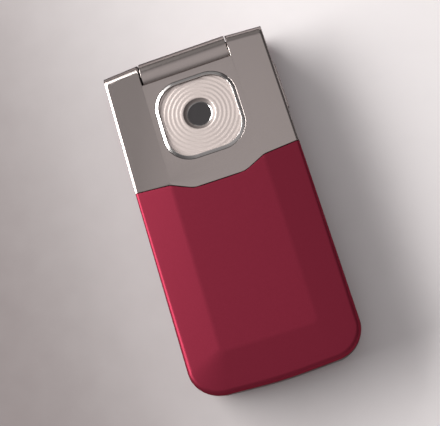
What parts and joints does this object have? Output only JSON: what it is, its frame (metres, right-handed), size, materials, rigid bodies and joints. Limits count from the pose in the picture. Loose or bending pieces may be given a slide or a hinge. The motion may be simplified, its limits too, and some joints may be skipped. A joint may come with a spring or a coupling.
{
  "type": "flip phone",
  "caption": "Closed clamshell phone with a silver rear plate, a faceted red battery cover, a camera in a chrome bezel and a hinge barrel that opens onto a keypad and display.",
  "frame": {"origin": "under the middle of the closed phone, on the surface that it lies on", "axes": "+Y towards the hinge end, +Z out of the back, +X to the right seen from the back"},
  "size_m": [0.047, 0.0954, 0.0158],
  "materials": {
    "silver_plate": "satin metal-look paint",
    "silver_barrel": "satin metal-look paint",
    "red_cover": "matt metallic lacquer",
    "chrome_trim": "polished",
    "pearl_plate": "pearl",
    "grey_ring": "satin",
    "dark_glass": "polished",
    "graphite_plastic": "satin",
    "key_plastic": "satin",
    "black_plastic": "matt",
    "sheet_steel": "plain",
    "board": "solder mask",
    "battery_wrap": "printed film, left bare",
    "contacts": "gold plated",
    "soft_rubber": "matt",
    "flex_film": "polyimide film"
  },
  "bodies": {
    "lid": {"lid_cover": "red_cover", "lid_window": "dark_glass", "outer_display": "black_plastic", "lid_housing": "graphite_plastic", "hinge_barrel": "silver_barrel", "hinge_unit": "sheet_steel", "hinge_bush": "contacts", "lid_frame": "sheet_steel", "lid_board": "board", "main_display": "black_plastic", "display_glass": "dark_glass", "earpiece": "black_plastic", "lid_magnet": "sheet_steel", "bumpers": "soft_rubber", "lid_screws": "sheet_steel", "display_flex": "flex_film"},
    "base": {"rear_plate": "silver_plate", "camera_bezel": "chrome_trim", "camera_ripple_plate": "pearl_plate", "camera_lens_ring": "grey_ring", "camera_window": "dark_glass", "base_frame": "graphite_plastic", "keypad_panel": "graphite_plastic", "chassis": "sheet_steel", "main_board": "board", "board_shields": "sheet_steel", "battery": "battery_wrap", "battery_contacts": "contacts", "sim_holder": "sheet_steel", "camera_module": "black_plastic", "loudspeaker": "black_plastic", "vibration_motor": "sheet_steel", "microphone": "sheet_steel", "charger_jack": "black_plastic", "antenna_carrier": "black_plastic", "hinge_shaft": "sheet_steel", "dummy_pin": "sheet_steel", "base_screws": "sheet_steel", "key_domes": "sheet_steel"},
    "battery_cover": {"battery_cover": "red_cover"},
    "volume_key": {"volume_key": "silver_plate"},
    "motor_weight": {"motor_weight": "sheet_steel"},
    "nav_ring": {"nav_ring": "key_plastic"},
    "select_key": {"select_key": "key_plastic"},
    "softkey_left": {"softkey_left": "key_plastic"},
    "softkey_right": {"softkey_right": "key_plastic"},
    "call_key": {"call_key": "key_plastic"},
    "end_key": {"end_key": "key_plastic"},
    "key_1": {"key_1": "key_plastic"},
    "key_2": {"key_2": "key_plastic"},
    "key_3": {"key_3": "key_plastic"},
    "key_4": {"key_4": "key_plastic"},
    "key_5": {"key_5": "key_plastic"},
    "key_6": {"key_6": "key_plastic"},
    "key_7": {"key_7": "key_plastic"},
    "key_8": {"key_8": "key_plastic"},
    "key_9": {"key_9": "key_plastic"},
    "key_star": {"key_star": "key_plastic"},
    "key_0": {"key_0": "key_plastic"},
    "key_hash": {"key_hash": "key_plastic"}
  },
  "joints": [
    {"name": "fold", "type": "hinge", "parent": "lid", "child": "base", "pos_m": [0, 0.04295, 0.00968], "axis": [-1, 0, 0], "range_deg": [0, 155]},
    {"name": "cover_slide", "type": "slide", "parent": "base", "child": "battery_cover", "axis": [0, -1, 0], "range_m": [0, 0.06]},
    {"name": "volume_rock", "type": "hinge", "parent": "base", "child": "volume_key", "pos_m": [0.02235, 0.0284, 0.01014], "axis": [0, 0, 1], "range_deg": [-2, 2], "stiffness_Nm_per_rad": 0.25},
    {"name": "motor_spin", "type": "hinge", "parent": "base", "child": "motor_weight", "pos_m": [0.0125, 0.0176, 0.0119], "axis": [1, 0, 0], "continuous": true},
    {"name": "nav_ring_press", "type": "slide", "parent": "base", "child": "nav_ring", "axis": [0, 0, 1], "range_m": [0, 0.0003], "stiffness_N_per_m": 1000},
    {"name": "select_key_press", "type": "slide", "parent": "base", "child": "select_key", "axis": [0, 0, 1], "range_m": [0, 0.0003], "stiffness_N_per_m": 1000},
    {"name": "softkey_left_press", "type": "slide", "parent": "base", "child": "softkey_left", "axis": [0, 0, 1], "range_m": [0, 0.0003], "stiffness_N_per_m": 1000},
    {"name": "softkey_right_press", "type": "slide", "parent": "base", "child": "softkey_right", "axis": [0, 0, 1], "range_m": [0, 0.0003], "stiffness_N_per_m": 1000},
    {"name": "call_key_press", "type": "slide", "parent": "base", "child": "call_key", "axis": [0, 0, 1], "range_m": [0, 0.0003], "stiffness_N_per_m": 1000},
    {"name": "end_key_press", "type": "slide", "parent": "base", "child": "end_key", "axis": [0, 0, 1], "range_m": [0, 0.0003], "stiffness_N_per_m": 1000},
    {"name": "key_1_press", "type": "slide", "parent": "base", "child": "key_1", "axis": [0, 0, 1], "range_m": [0, 0.0003], "stiffness_N_per_m": 1000},
    {"name": "key_2_press", "type": "slide", "parent": "base", "child": "key_2", "axis": [0, 0, 1], "range_m": [0, 0.0003], "stiffness_N_per_m": 1000},
    {"name": "key_3_press", "type": "slide", "parent": "base", "child": "key_3", "axis": [0, 0, 1], "range_m": [0, 0.0003], "stiffness_N_per_m": 1000},
    {"name": "key_4_press", "type": "slide", "parent": "base", "child": "key_4", "axis": [0, 0, 1], "range_m": [0, 0.0003], "stiffness_N_per_m": 1000},
    {"name": "key_5_press", "type": "slide", "parent": "base", "child": "key_5", "axis": [0, 0, 1], "range_m": [0, 0.0003], "stiffness_N_per_m": 1000},
    {"name": "key_6_press", "type": "slide", "parent": "base", "child": "key_6", "axis": [0, 0, 1], "range_m": [0, 0.0003], "stiffness_N_per_m": 1000},
    {"name": "key_7_press", "type": "slide", "parent": "base", "child": "key_7", "axis": [0, 0, 1], "range_m": [0, 0.0003], "stiffness_N_per_m": 1000},
    {"name": "key_8_press", "type": "slide", "parent": "base", "child": "key_8", "axis": [0, 0, 1], "range_m": [0, 0.0003], "stiffness_N_per_m": 1000},
    {"name": "key_9_press", "type": "slide", "parent": "base", "child": "key_9", "axis": [0, 0, 1], "range_m": [0, 0.0003], "stiffness_N_per_m": 1000},
    {"name": "key_star_press", "type": "slide", "parent": "base", "child": "key_star", "axis": [0, 0, 1], "range_m": [0, 0.0003], "stiffness_N_per_m": 1000},
    {"name": "key_0_press", "type": "slide", "parent": "base", "child": "key_0", "axis": [0, 0, 1], "range_m": [0, 0.0003], "stiffness_N_per_m": 1000},
    {"name": "key_hash_press", "type": "slide", "parent": "base", "child": "key_hash", "axis": [0, 0, 1], "range_m": [0, 0.0003], "stiffness_N_per_m": 1000}
  ]
}
